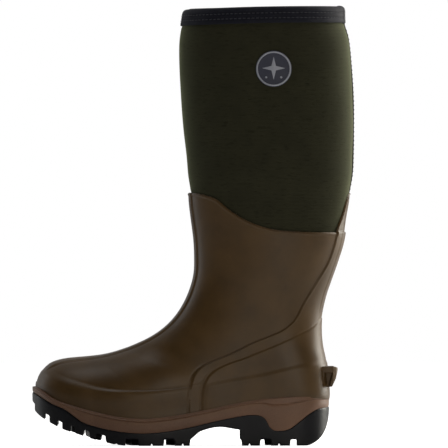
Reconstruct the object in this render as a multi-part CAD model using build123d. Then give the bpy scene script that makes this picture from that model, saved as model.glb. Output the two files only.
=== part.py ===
"""A left insulated pull-on hunting boot.

The frame is +Z up with the origin under the middle of the boot, at the ground. The toe points to -X,
the heel to +X, the outer side of the foot to -Y and the inner side to +Y. Sizes are in millimetres.

The upper is a stack of skins over one form. Each skin is the space between two copies of the form, one
larger than the other, and the form is a loft through sections that fan round the bend of the instep.
"""

import functools
import math
import os

from build123d import *

# ---------------------------------------------------------------- driving dimensions

BOOT_HEIGHT = 438.5
TOP_RISE = 3.1             # how much higher the opening is at the calf than at the shin

LINING = 1.0               # knitted lining
NEOPRENE = 5.0             # insulating foam sock
RUBBER = 1.6               # rubber shell
OVERLAY = 1.2              # moulded rubber overlays on the shell
FINISHED = RUBBER + OVERLAY
SEAM_TAPE = 0.8
COUNTER_EXTRA = 0.5        # the heel counter stands this much above the other overlays

SHELL_FLOOR = 2.0          # the shell under the foot
BOARD = 2.0                # insole board under the sock
FOOTBED = 4.5              # removable foam footbed
FOOTBED_COVER = 0.8
FOOTBED_GAP = 0.6          # between the footbed's edge and the lining

BINDING_HEIGHT = 16.5
BINDING_TAPE = 1.3
STITCH_LENGTH, STITCH_PITCH = 3.2, 5.0
STITCH_THREAD, STITCH_RELIEF = 0.9, 0.5

SOLE_MARGIN = 2.6          # how far the sole stands out from the upper
SOLE_TAPER = 1.2           # how much the sole's wall leans in at the ground
LUG_DEPTH = 6.5

BADGE_DIAMETER = 36.0
BADGE_X, BADGE_Z = 80.5, 375.5

FAR = 400.0                # longer than any cut needs to be
POINTS_PER_SIDE = 10       # of a section's outline

# The finished outside in side view, as (front x, front z, back x, back z) of each section, top to toe.
SECTIONS = [
    (-8.5, 452, 149.5, 455), (-9.0, 436, 150.2, 438), (-11.2, 420, 150.8, 422), (-13.2, 404, 155.2, 405),
    (-13.6, 378, 157.9, 379), (-12.0, 346, 159.9, 347), (-9.3, 314, 160.2, 315), (-6.6, 286, 159.8, 287),
    (-4.4, 262, 158.8, 264), (-4.4, 245, 157.6, 246), (-2.6, 228, 154.4, 227), (0.2, 205, 151.0, 204),
    (1.0, 186, 144.9, 184), (0.5, 172, 138.6, 166), (-2.6, 158.5, 133.2, 150), (-8.2, 144.6, 129.6, 134),
    (-15.8, 131.8, 128.4, 117), (-24.6, 121.4, 129.6, 100), (-34.4, 113.2, 132.8, 84), (-44.6, 106.8, 134.6, 66),
    (-54.6, 102.0, 133.5, 42), (-64.4, 97.9, 112, 32), (-73.6, 94.8, 84, 31), (-82.0, 92.4, 54, 27),
    (-90.6, 90.6, 24, 20), (-99.2, 89.5, -6, 14), (-108.2, 88.7, -36, 10), (-117.6, 88.1, -66, 10),
    (-127.2, 87.2, -92, 15), (-136.0, 85.5, -114, 22), (-143.6, 82.6, -131, 30), (-149.8, 77.4, -143.5, 39),
    (-154.2, 70.4, -151.2, 46.5), (-156.6, 63.5, -155.8, 53.0),
]
TOE_TIP_X = -157.4
TOE_GROWTH = (-30.0, -150.0)       # between these x the form takes up growing lengthwise too
SMALLEST_FULL_GROWTH = 20.0        # half sizes under this grow by a smaller share
FIRST_CLAD = 9             # the first section under rubber
FIRST_ANKLE, FIRST_HEEL, FIRST_FOOT = 13, 17, 21
LEG_AND_FOOT_MEET = 23     # the section shared by the form's two stretches

# Largest half width of the leg against height, and of the foot against x, on the outer and inner sides.
LEG_HALF_WIDTH = [
    (120, 42), (150, 44), (180, 46.5), (210, 49), (245, 52), (290, 55), (340, 57), (400, 57), (455, 55),
]
FOOT_OUTER = [(-100, 50.5), (-70, 52.5), (-40, 50.5), (-10, 46), (20, 42), (60, 39), (100, 38), (140, 37)]
FOOT_INNER = [(-100, 50.5), (-70, 50.5), (-40, 47), (-10, 41.5), (20, 38), (60, 37), (100, 37.5), (140, 37)]
FOOT_CENTRE = [(-160, 7), (-120, 4.5), (-80, 1.5), (-40, 0), (150, 0)]
TOE_ROUND_X = -100.0       # forward of here the toe rounds off in plan
LEG_START, FOOT_START = 175.0, 105.0   # heights between which the leg's width gives way to the foot's

# Lines in side view, as (x, z).
FEATHER_LINE = [
    (-175, 64), (-157, 57), (-140.5, 46.8), (-119, 39.4), (-97, 33.6), (-75, 29), (-48, 27), (-24, 29.2),
    (0, 33), (24, 38), (48, 43.2), (75, 47.2), (100, 48.8), (160, 49.2),
]
SWOOP_LINE = [
    (-175, 58), (-160, 52.6), (-140.5, 41.4), (-129, 36.6), (-120, 30.4), (-111, 24), (-99, 19.6), (-80, 15.2),
    (-54, 12.4), (-30, 13.6), (0, 18.8), (24, 24.6), (46, 29), (60, 30.6), (68.5, 29.2), (73.5, 25),
    (77, 18.6), (81.5, 15.2), (88, 14.8), (96, 16.4), (104, 21.6), (113, 28.8), (121, 34.4), (128, 37), (160, 38.4),
]
TREAD_LINE = [
    (-175, 58), (-160.6, 38), (-152, 29.2), (-140, 22), (-128, 16.2), (-116, 12.4), (-104, 8.4), (-92, 5),
    (-80, 2.2), (-68, 0.6), (-58, 0),
]
HEEL_RISE = [(112, 0), (120, 2.6), (127, 8), (132, 16), (135, 27), (137, 60)]
ARCH_FRONT, ARCH_BACK_X = (-2.5, 6.5), 47.0     # the top of the arch's front corner, and its upright back
ARCH_ROOF = [(6.5, 14.2), (16, 17.4), (28, 19), (38, 17.6), (47, 16.4)]
RUBBER_TOP = [
    (-30, 252.6), (-4, 252.3), (11, 249.8), (23, 245.4), (35, 235.8), (51, 225.6), (67, 218.9), (81, 215.4),
    (104, 213.3), (128, 212.7), (145, 212.7),
]
STRAP_FRONT = [
    (-5, 0), (-4.6, 34), (-3.6, 53), (-2, 61.3), (0.7, 70), (6, 76.8), (15, 82.4), (38, 92), (61, 103.4),
    (82, 111.8), (93.5, 118.2), (101.7, 126.6), (110, 142.4), (122.8, 163.4), (134.4, 183), (140, 198), (143.4, 211),
]
COUNTER_FRONT = [
    (8.4, 0), (8.6, 36), (9, 53), (11.2, 62.4), (15.4, 69.7), (22.8, 76), (35.4, 82), (50, 87), (67, 94),
    (80, 99.2), (92.3, 104.5), (103, 109.7), (117.5, 117.1), (124, 123.4), (128, 128), (150, 131),
]
RAND_TOP = [
    (-175, 84), (-157, 83), (-146, 79), (-134, 72), (-118, 66), (-100, 60.4), (-84, 57), (-66, 55.4), (-40, 55.6),
    (-20, 57.4), (8, 60.6), (40, 66), (72, 71.6), (104, 79), (150, 86),
]
TOP_LINE = [
    (-60, BOOT_HEIGHT - 4.6), (-8, BOOT_HEIGHT - TOP_RISE), (70, BOOT_HEIGHT - 0.9), (150, BOOT_HEIGHT),
    (220, BOOT_HEIGHT),
]
TONGUE = [      # the shell's tongue, up the calf
    (143.4, 190), (143.4, 212), (150, 232), (156.6, 252.2), (200, 252.2), (200, 190),
]
RIDGE_HALF_WIDTH, RIDGE_TOE_HALF_WIDTH = 13.0, 19.0
RIDGE_WIDENS_X = -60.0
SOCK_SEAM_Z = 200.0        # where the leg of the foam sock is sewn to its foot

TOE_PUFF, TOE_PUFF_X = 1.0, -112.0            # thickness, and how far back it reaches
HEEL_STIFFENER, HEEL_STIFFENER_X, HEEL_STIFFENER_TOP = 1.2, 74.0, 112.0
SHANK_X, SHANK_HALF_WIDTH, SHANK = (-28.0, 62.0), 8.0, 1.2

# The sole in plan and its tread.
SOLE_TOE_X, SOLE_HEEL_X, HEEL_ROUND_X = -160.8, 136.4, 46.0
LUGS = [
    (-164, -146), (-144, -134), (-131, -121), (-119, -107), (-104, -95), (-88, -65), (-56, -27), (-20, -1),
    (47, 69), (76, 99), (103, 140),
]
LUG_REACH = 19.0           # how far the edge lugs reach in from the sole's edge
LUG_DRAFT = 5.0            # degrees
DRAFTED_LUGS = (-118.0, 112.0)     # between these x
SLITS = [-76.0, -41.0, -10.0, 56.5, 86.0]
SLIT_WIDTH, SLIT_DEPTH = 2.2, 2.6
CHEVRONS = [-128.0, -108.0, -88.0, -68.0, -48.0, -28.0]
CHEVRON_LENGTH, CHEVRON_SWEEP = 11.0, 7.0
HEEL_BARS = [(54, 64), (71, 81), (88, 98), (107, 140)]

SPUR = [(118, 78.4), (140, 79), (144.8, 77.4), (144.4, 73.6), (142.8, 66.5), (139, 58.6), (118, 57)]
SPUR_CHEEK = [(131.2, 72.6), (139.8, 72.6), (136, 57.2), (131.2, 57.2)]
SPUR_ROOT_HALF_WIDTH, SPUR_END_HALF_WIDTH, SPUR_CHEEK_DEPTH = 22.0, 17.0, 3.0
SPUR_RIBS, SPUR_RIB_DEPTH, SPUR_GROOVE = 4, 1.0, 1.2
SPUR_BACK_LEAN = 13.0      # degrees

STITCH_ROWS = (6.5, 11.5)  # below the top edge
BACK_TAPE_HALF_WIDTH, BACK_STITCH_OFFSET, BACK_STITCH_PITCH = 4.2, 2.8, 5.6
BADGE, BADGE_RELIEF, BADGE_RING_WIDTH = 1.2, 0.5, 2.2
STAR_RADIUS, STAR_WAIST = 11.5, 3.0
DOT_RADIUS, DOT_OFFSET, DOT_DROP = 1.0, 7.5, 8.5


# ---------------------------------------------------------------- helpers

def smooth(x, table):
    """A cubic through a table of (position, value), with each slope taken from the point's neighbours."""
    if x <= table[0][0]:
        return table[0][1]
    if x >= table[-1][0]:
        return table[-1][1]
    i = max(k for k, (position, _) in enumerate(table[:-1]) if position <= x)

    def slope(k):
        low, high = max(k - 1, 0), min(k + 1, len(table) - 1)
        return (table[high][1] - table[low][1]) / (table[high][0] - table[low][0])

    (x0, y0), (x1, y1) = table[i], table[i + 1]
    span = x1 - x0
    t = (x - x0) / span
    return (
        y0 * (1 + 2 * t) * (1 - t) ** 2 + slope(i) * span * t * (1 - t) ** 2
        + y1 * t * t * (3 - 2 * t) + slope(i + 1) * span * t * t * (t - 1)
    )


def share(x, low, high):
    """0 below low, 1 above high and a smooth step between them."""
    t = min(1.0, max(0.0, (x - low) / (high - low)))
    return t * t * (3 - 2 * t)


def at(x, z):
    return Vector(x, 0, z)


def side_block(*runs, half_width=FAR / 2):
    """A shape in side view made into a block across the boot. Each run of three or more points is a smooth
    curve and straight lines join the runs up."""
    edges = []
    for k, run in enumerate(runs):
        if len(run) > 2:
            edges.append(Edge.make_spline([at(*point) for point in run]))
        elif len(run) == 2:
            edges.append(Edge.make_line(at(*run[0]), at(*run[1])))
        start, end = run[-1], runs[(k + 1) % len(runs)][0]
        if start != end:
            edges.append(Edge.make_line(at(*start), at(*end)))
    return extrude(Face(Wire(edges)), amount=half_width, dir=(0, 1, 0), both=True)


def corners(points):
    """A polygon's points as runs of straight line."""
    return [[point] for point in points]


def under(line, rise=0.0):
    """Everything below a line in side view, once the line is raised. Past its ends the line runs on level."""
    points = [(x, z + rise) for x, z in line]
    return side_block(points, [(FAR, points[-1][1])], [(FAR, -FAR)], [(-FAR, -FAR)], [(-FAR, points[0][1])])


def behind(line):
    """Everything behind and below a line in side view that climbs towards the heel."""
    return side_block(line, [(FAR, line[-1][1])], [(FAR, line[0][1] - 20)], [(line[0][0], line[0][1] - 20)])


def box_between(low, high):
    """An upright box from one corner to the other."""
    size = [b - a for a, b in zip(low, high)]
    return Pos(*[(a + b) / 2 for a, b in zip(low, high)]) * Box(*size)


def plan_block(points, low, high):
    """A polygon in plan made into an upright block."""
    face = Face(Wire.make_polygon([Vector(x, y, low) for x, y in points], close=True))
    return extrude(face, amount=high - low, dir=(0, 0, 1))


# ---------------------------------------------------------------- the form

def half_width(x, z, table):
    """Half width of the finished boot at a place in side view: the leg's above, the foot's below."""
    toe = max(0.0, (TOE_ROUND_X - x) / (TOE_ROUND_X - TOE_TIP_X + 0.4))
    foot = smooth(x, table) * math.sqrt(max(0.0, 1 - toe ** 2.4))
    leg_share = share(z, FOOT_START, LEG_START)
    return leg_share * smooth(z, LEG_HALF_WIDTH) + (1 - leg_share) * foot


def section_powers(index):
    """How square a section is at its front and back, and how far along it is widest."""
    front = smooth(index, [(0, 2.0), (FIRST_ANKLE, 2.0), (FIRST_FOOT, 2.0), (len(SECTIONS), 2.3)])
    back = smooth(index, [
        (0, 2.0), (FIRST_ANKLE, 2.1), (FIRST_HEEL, 4.0), (FIRST_FOOT, 9.0), (FIRST_FOOT + 3, 14.0)])
    widest = smooth(index, [(0, 0.5), (FIRST_ANKLE, 0.5), (FIRST_FOOT, 0.5), (FIRST_FOOT + 4, 0.6)])
    return front, back, widest


def grown_size(size, grow):
    """Half a size once it has grown, with the smallest growing less so that they never vanish."""
    return size + grow * min(1.0, size / SMALLEST_FULL_GROWTH)


def section_outline(index, grow):
    """The closed curve of one section of the form, grown outwards in its own plane."""
    front_x, front_z, back_x, back_z = SECTIONS[index]
    front, back, widest = section_powers(index)
    if index >= FIRST_CLAD:
        grow -= FINISHED
    along = Vector(back_x - front_x, 0, back_z - front_z)
    push = -grow * share(-(front_x + back_x) / 2, -TOE_GROWTH[0], -TOE_GROWTH[1])
    middle = Vector(front_x + along.X / 2 + push, 0, front_z + along.Z / 2)
    reach = along.normalized() * grown_size(along.length / 2, grow)
    points = []
    for k in range(2 * POINTS_PER_SIDE):
        angle = math.pi * k / POINTS_PER_SIDE
        s = (1 - math.cos(angle)) / 2
        x, z = front_x + along.X * s, front_z + along.Z * s
        if s < widest:
            profile = math.sqrt(max(0.0, 1 - ((widest - s) / widest) ** front))
        else:
            profile = math.sqrt(max(0.0, 1 - ((s - widest) / (1 - widest)) ** back))
        outer = math.sin(angle) > 0
        width = grown_size(half_width(x, z, FOOT_OUTER if outer else FOOT_INNER), grow) * profile
        y = smooth(x, FOOT_CENTRE) + (-width if outer else width)
        points.append(middle + reach * (2 * s - 1) + Vector(0, y, 0))
    parameters = [k / len(points) for k in range(len(points) + 1)]
    return Edge.make_spline(points, periodic=True, parameters=parameters)


@functools.cache
def form(grow):
    """The solid form, grown by a distance from the outside of the foam sock."""
    wires = [Wire([section_outline(index, grow)]) for index in range(len(SECTIONS))]
    leg = Solid.make_loft(wires[:LEG_AND_FOOT_MEET + 1])
    foot = Solid.make_loft(wires[LEG_AND_FOOT_MEET:])
    return leg + foot


def skin(outside, inside, region, floor=0.0, inner_floor=0.0):
    """The space between two copies of the form within a region of the side view. Each copy stops at its own
    height above the feather line."""
    outer = form(outside) & region
    outer -= under(FEATHER_LINE, floor)
    return outer - (form(inside) - under(FEATHER_LINE, inner_floor))


# ---------------------------------------------------------------- the upper

def upper():
    """The sock, the rubber shell round it and what is bonded and sewn to them."""
    below_rim = under(TOP_LINE, -BINDING_TAPE)
    below_rubber_top = under(RUBBER_TOP) + side_block(*corners(TONGUE))
    leg = box_between((-FAR, -FAR / 2, SOCK_SEAM_Z), (FAR, FAR / 2, BOOT_HEIGHT + 10))

    round_toe = box_between((-FAR, -FAR / 2, 0), (TOE_PUFF_X, FAR / 2, HEEL_STIFFENER_TOP))
    puff = skin(0, -TOE_PUFF, round_toe, SHELL_FLOOR + BOARD, SHELL_FLOOR + BOARD)
    round_heel = box_between((HEEL_STIFFENER_X, -FAR / 2, 0), (FAR, FAR / 2, HEEL_STIFFENER_TOP))
    stiffener = skin(0, -HEEL_STIFFENER, round_heel, SHELL_FLOOR + BOARD, SHELL_FLOOR + BOARD)
    foam = skin(0, -NEOPRENE, below_rim, SHELL_FLOOR + BOARD, SHELL_FLOOR + BOARD + NEOPRENE)
    foam -= [puff, stiffener]
    lining_floor = SHELL_FLOOR + BOARD + NEOPRENE
    lining = skin(-NEOPRENE, -NEOPRENE - LINING, below_rim, lining_floor, lining_floor + LINING)

    bed_floor = lining_floor + LINING
    bed = form(-NEOPRENE - LINING - FOOTBED_GAP)
    bed_top = bed_floor + FOOTBED
    footbed = (bed & under(FEATHER_LINE, bed_top)) - under(FEATHER_LINE, bed_floor)
    cover = (bed & under(FEATHER_LINE, bed_top + FOOTBED_COVER)) - under(FEATHER_LINE, bed_top)
    board = (form(0) & under(FEATHER_LINE, SHELL_FLOOR + BOARD)) - under(FEATHER_LINE, SHELL_FLOOR)

    shell = skin(RUBBER, 0, below_rubber_top, 0, SHELL_FLOOR)
    overlay = skin(FINISHED, RUBBER, under(RUBBER_TOP))
    counter_region, stay_region = behind(COUNTER_FRONT), behind(STRAP_FRONT)
    counter = skin(FINISHED + COUNTER_EXTRA, RUBBER, counter_region)
    stay = (overlay & stay_region) - counter_region
    rand = (overlay & under(RAND_TOP)) - stay_region
    toe_y = smooth(-150, FOOT_CENTRE)
    ridge_plan = plan_block([
        (-170, toe_y - RIDGE_TOE_HALF_WIDTH), (-110, smooth(-110, FOOT_CENTRE) - RIDGE_TOE_HALF_WIDTH + 2),
        (RIDGE_WIDENS_X, -RIDGE_HALF_WIDTH), (30, -RIDGE_HALF_WIDTH), (30, RIDGE_HALF_WIDTH),
        (RIDGE_WIDENS_X, RIDGE_HALF_WIDTH), (-110, smooth(-110, FOOT_CENTRE) + RIDGE_TOE_HALF_WIDTH - 2),
        (-170, toe_y + RIDGE_TOE_HALF_WIDTH),
    ], 40, 260)
    ridge = (overlay & ridge_plan) - [under(RAND_TOP), stay_region]

    return {
        "neoprene_shaft": foam & leg,
        "neoprene_foot": foam - leg,
        "lining_leg": lining & leg,
        "lining_foot": lining - leg,
        "toe_puff": puff,
        "heel_stiffener": stiffener,
        "insole_board": board,
        "footbed": footbed,
        "footbed_cover": cover,
        "rubber_shell": shell,
        "toe_rand": rand,
        "front_ridge": ridge,
        "rear_stay": stay,
        "heel_counter": counter,
        "kick_spur": kick_spur(),
        **binding(),
        **back_seam(),
        **badge(),
    }


def kick_spur():
    """The ledge behind the heel for stepping out of the boot, with ribs on its back and hollow cheeks."""
    plan = plan_block([
        (110, -SPUR_ROOT_HALF_WIDTH), (134, -SPUR_ROOT_HALF_WIDTH), (140, -SPUR_ROOT_HALF_WIDTH + 1.4),
        (143.6, -SPUR_END_HALF_WIDTH), (144.8, -SPUR_END_HALF_WIDTH + 4),
        (144.8, SPUR_END_HALF_WIDTH - 4), (143.6, SPUR_END_HALF_WIDTH), (140, SPUR_ROOT_HALF_WIDTH - 1.4),
        (134, SPUR_ROOT_HALF_WIDTH), (110, SPUR_ROOT_HALF_WIDTH),
    ], 50, 90)
    spur = (side_block(*corners(SPUR)) & plan) - form(FINISHED + COUNTER_EXTRA)
    cheek = side_block(*corners(SPUR_CHEEK))
    core = SPUR_END_HALF_WIDTH + 1 - SPUR_CHEEK_DEPTH
    cuts = [
        cheek & box_between((100, core, 40), (160, 60, 100)),
        cheek & box_between((100, -60, 40), (160, -core, 100)),
    ]
    (top_x, top_z), (low_x, low_z) = SPUR[3], SPUR[4]
    for k in range(SPUR_RIBS):
        t = (k + 1) / (SPUR_RIBS + 1)
        place = Pos(top_x + (low_x - top_x) * t, 0, top_z + (low_z - top_z) * t)
        cuts.append(place * Rot(0, SPUR_BACK_LEAN, 0) * Box(2 * SPUR_RIB_DEPTH, 2 * core - 4, SPUR_GROOVE))
    return spur - cuts


def binding():
    """The webbing folded over the top edge, and the two rows of stitches that hold it."""
    band = under(TOP_LINE) - under(TOP_LINE, -BINDING_HEIGHT)
    below_rim = under(TOP_LINE, -BINDING_TAPE)
    inside = -NEOPRENE - LINING
    tape = (form(BINDING_TAPE) & band) - form(inside - BINDING_TAPE)
    tape -= (form(0) & below_rim) - form(inside)

    outline = section_outline(1, 0)
    count = round(outline.length / STITCH_PITCH)
    leg_middle = outline.bounding_box().center()
    stitches = []
    for depth in STITCH_ROWS:
        for k in range(count):
            place = outline @ (k / count)
            height = smooth(place.X, TOP_LINE) - depth
            point, normal = on_surface(
                BINDING_TAPE, Vector(leg_middle.X, leg_middle.Y, height),
                Vector(place.X - leg_middle.X, place.Y - leg_middle.Y, 0))
            stitches.append(stitch(point, normal, outline % (k / count)))
    return {"top_binding": tape, "binding_stitching": Compound(children=stitches)}


def on_surface(grow, inside, direction):
    """Where a line from a point inside the grown form comes out of it, with the surface's normal there."""
    hits = form(grow).find_intersection_points(Axis(inside, direction))
    return max(hits, key=lambda hit: (hit[0] - inside).dot(direction))


def stitch(point, normal, along):
    """The raised part of one stitch, lying on a surface."""
    place = Plane(point + normal * (STITCH_RELIEF / 2), x_dir=along, z_dir=normal)
    return place * Box(STITCH_LENGTH, STITCH_THREAD, STITCH_RELIEF)


def back_seam():
    """The tape down the calf from the binding to the shell's tongue, sewn along both edges."""
    foot_z, head_z = TONGUE[3][1], BOOT_HEIGHT - BINDING_HEIGHT
    strip = box_between((100, -BACK_TAPE_HALF_WIDTH, foot_z), (FAR, BACK_TAPE_HALF_WIDTH, BOOT_HEIGHT))
    tape = ((form(SEAM_TAPE) & under(TOP_LINE, -BINDING_HEIGHT)) & strip) - form(0)
    count = int((head_z - foot_z) / BACK_STITCH_PITCH)
    stitches = []
    for side in (-1, 1):
        for k in range(count):
            inside = Vector(110, side * BACK_STITCH_OFFSET, foot_z + (k + 0.5) * BACK_STITCH_PITCH)
            point, normal = on_surface(SEAM_TAPE, inside, Vector(1, 0, 0))
            stitches.append(stitch(point, normal, Vector(0, 0, 1)))
    return {"back_seam_tape": tape, "back_seam_stitching": Compound(children=stitches)}


def badge():
    """The round moulded badge on the outer side of the calf, with a raised ring and a four-pointed star."""
    def disc(radius):
        return Pos(BADGE_X, -50, BADGE_Z) * Rot(90, 0, 0) * Cylinder(radius, 60)

    radius = BADGE_DIAMETER / 2
    base = (form(BADGE) & disc(radius)) - form(0)
    raised = form(BADGE + BADGE_RELIEF)
    ring = (raised & (disc(radius) - disc(radius - BADGE_RING_WIDTH))) - form(BADGE)
    points = []
    for k in range(8):
        reach = STAR_RADIUS if k % 2 == 0 else STAR_WAIST
        angle = math.pi / 2 + k * math.pi / 4
        points.append((BADGE_X + reach * math.cos(angle), BADGE_Z + reach * math.sin(angle)))
    near_side = box_between((0, -FAR / 2, 300), (160, -20, 440))
    emblem = ((raised & near_side) & side_block(*corners(points))) - form(BADGE)
    dots = [
        (raised & (Pos(x, 0, -DOT_DROP) * disc(DOT_RADIUS))) - form(BADGE) for x in (-DOT_OFFSET, DOT_OFFSET)
    ]
    return {"badge_disc": base, "badge_ring": ring, "badge_emblem": emblem + dots}


# ---------------------------------------------------------------- the sole

def sole_half_width(x, table, margin):
    toe = max(0.0, (TOE_ROUND_X - x) / (TOE_ROUND_X - SOLE_TOE_X))
    heel = max(0.0, (x - HEEL_ROUND_X) / (SOLE_HEEL_X - HEEL_ROUND_X))
    ends = math.sqrt(max(0.0, 1 - toe ** 2.4)) * math.sqrt(max(0.0, 1 - heel ** 6))
    return (smooth(x, table) + margin) * ends


def sole_outline(z, margin):
    """The sole's edge in plan at a height."""
    middle, reach = (SOLE_TOE_X + SOLE_HEEL_X) / 2, (SOLE_HEEL_X - SOLE_TOE_X) / 2
    points = []
    for k in range(48):
        angle = 2 * math.pi * k / 48
        x = middle + reach * math.cos(angle)
        outer = math.sin(angle) < 0
        width = sole_half_width(x, FOOT_OUTER if outer else FOOT_INNER, margin)
        shrink = (reach - SOLE_MARGIN + margin) / reach
        y = smooth(x, FOOT_CENTRE) + (-width if outer else width)
        points.append(Vector(middle + (x - middle) * shrink, y, z))
    return Wire([Edge.make_spline(points, periodic=True)])


def sole():
    """The foam midsole, the lugged outsole under it and the steel shank let into the midsole."""
    low, high = sole_outline(-2, SOLE_MARGIN - SOLE_TAPER), sole_outline(70, SOLE_MARGIN)
    slab = Solid.make_loft([low, high], ruled=True)
    shank = skin_of_feather(SHANK_X, SHANK_HALF_WIDTH, SHANK)
    midsole = (slab & under(FEATHER_LINE)) - [under(SWOOP_LINE), shank]

    roots = [(x, z + LUG_DEPTH) for x, z in TREAD_LINE] + [(ARCH_FRONT[0] - 12, LUG_DEPTH)]
    heel_roots = [(x - 5, z + LUG_DEPTH) for x, z in HEEL_RISE]
    grooves = side_block(
        roots, [ARCH_FRONT], ARCH_ROOF, [(ARCH_BACK_X, LUG_DEPTH)], heel_roots,
        [(FAR, heel_roots[-1][1])], [(FAR, -FAR)], [(roots[0][0], -FAR)])
    grooves -= tread_lugs()
    worn_away = side_block(
        TREAD_LINE, HEEL_RISE, [(FAR, HEEL_RISE[-1][1])], [(FAR, -FAR)], [(TREAD_LINE[0][0], -FAR)])
    slits = [
        box_between((x - SLIT_WIDTH / 2, -100, -1), (x + SLIT_WIDTH / 2, 100, SLIT_DEPTH)) for x in SLITS
    ]
    outsole = (slab & under(SWOOP_LINE)) - worn_away
    outsole -= grooves
    return {"midsole": midsole, "outsole": outsole - slits, "steel_shank": shank}


def skin_of_feather(span, half, thickness):
    """A strip just under the feather line."""
    strip = box_between((span[0], -half, 0), (span[1], half, 100))
    return (strip & under(FEATHER_LINE)) - under(FEATHER_LINE, -thickness)


def lug(points):
    """One lug as a block, narrowing towards the ground except under the sprung toe and the heel's back."""
    middle = sum(x for x, _ in points) / len(points)
    if middle < DRAFTED_LUGS[0] or middle > DRAFTED_LUGS[1]:
        return plan_block(points, -5, 80)
    top = smooth(middle, TREAD_LINE) + LUG_DEPTH + 6
    face = Face(Wire.make_polygon([Vector(x, y, top) for x, y in points], close=True))
    return extrude(face, amount=top + 5, dir=(0, 0, -1), taper=LUG_DRAFT)


def tread_lugs():
    lugs = []
    for low, high in LUGS:
        x = min(max((low + high) / 2, SOLE_TOE_X + 12), SOLE_HEEL_X - 12)
        for side, table in ((-1, FOOT_OUTER), (1, FOOT_INNER)):
            edge = smooth(x, table) + SOLE_MARGIN + 8
            inset = sole_half_width(x, table, SOLE_MARGIN) - LUG_REACH
            reach = smooth(x, FOOT_CENTRE) + side * max(8.0, inset)
            far = smooth(x, FOOT_CENTRE) + side * edge
            pinch = min(3.0, (high - low) / 5)
            points = [(low, far), (high, far), (high - pinch, reach), (low + pinch, reach)]
            lugs.append(lug(points))
    for x in CHEVRONS:
        y = smooth(x, FOOT_CENTRE)
        half = sole_half_width(x, FOOT_INNER, SOLE_MARGIN) - LUG_REACH - 7
        lugs.append(lug([
            (x, y), (x + CHEVRON_SWEEP, y + half), (x + CHEVRON_SWEEP + CHEVRON_LENGTH, y + half),
            (x + CHEVRON_LENGTH, y),
            (x + CHEVRON_SWEEP + CHEVRON_LENGTH, y - half), (x + CHEVRON_SWEEP, y - half),
        ]))
    for low, high in HEEL_BARS:
        lugs.append(lug([(low, -14), (high, -14), (high, 14), (low, 14)]))
    return lugs


def build():
    """Every piece, moved so that the boot's box stands centred on the origin."""
    pieces = {**upper(), **sole()}
    boxes = [piece.bounding_box() for piece in pieces.values()]
    middle_x = (min(box.min.X for box in boxes) + max(box.max.X for box in boxes)) / 2
    middle_y = (min(box.min.Y for box in boxes) + max(box.max.Y for box in boxes)) / 2
    return {name: Pos(-middle_x, -middle_y, 0) * piece for name, piece in pieces.items()}


if __name__ == "__main__":
    os.makedirs("parts", exist_ok=True)
    for name, piece in build().items():
        export_step(piece, f"parts/{name}.step")
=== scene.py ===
"""A left insulated hunting boot: the looks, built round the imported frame.

Shapes are worked out in millimetres in the boot's design frame (toe to -X, outer side to -Y) and turned into
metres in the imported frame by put(). The upper's form is the one that the CAD skins are made from.
"""

import math

import bmesh
import bpy
import numpy as np
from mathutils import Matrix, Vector


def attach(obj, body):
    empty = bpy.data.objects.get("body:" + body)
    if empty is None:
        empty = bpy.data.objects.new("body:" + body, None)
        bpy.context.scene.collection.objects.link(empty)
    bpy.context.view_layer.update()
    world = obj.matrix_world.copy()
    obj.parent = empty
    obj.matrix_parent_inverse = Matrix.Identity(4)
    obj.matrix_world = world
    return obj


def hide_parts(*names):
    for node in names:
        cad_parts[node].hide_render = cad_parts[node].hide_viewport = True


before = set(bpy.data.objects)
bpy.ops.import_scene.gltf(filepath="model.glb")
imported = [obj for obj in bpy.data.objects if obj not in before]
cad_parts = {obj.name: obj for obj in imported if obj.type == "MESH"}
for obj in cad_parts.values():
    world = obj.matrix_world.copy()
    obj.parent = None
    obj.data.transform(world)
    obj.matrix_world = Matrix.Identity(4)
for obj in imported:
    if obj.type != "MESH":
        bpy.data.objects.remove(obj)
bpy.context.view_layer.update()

MIDDLE = np.array([0.454, -0.633, 0.0])      # the middle of the boot's box in the design frame

# ---------------------------------------------------------------- driving dimensions, in millimetres

RUBBER, OVERLAY = 1.6, 1.2
FINISHED = RUBBER + OVERLAY                  # the lower sections of the form are its outer face
NEOPRENE, LINING = 5.0, 1.0
BINDING_TAPE, BINDING_HEIGHT = 1.3, 16.5
JOIN_ANGLE, JOIN_HALF_ANGLE, JOIN_LIFT = 3.03, 0.085, 0.7    # the overlap of the binding's ends
BINDING_AT_Z, STITCHES_AT_Z = 438, 432       # where the leg's shape is taken for the binding
STITCH_ROWS = (6.5, 11.5)
STITCH_PITCH, STITCH_LENGTH = 4.4, 3.1
BADGE_X, BADGE_Z, BADGE_RADIUS = 80.5, 375.5, 18.0
SOLE_TOE_X, SOLE_HEEL_X, HEEL_ROUND_X, SOLE_MARGIN = -160.8, 136.4, 46.0, 2.6
SOLE_MIDDLE_X = (SOLE_TOE_X + SOLE_HEEL_X) / 2

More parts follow.
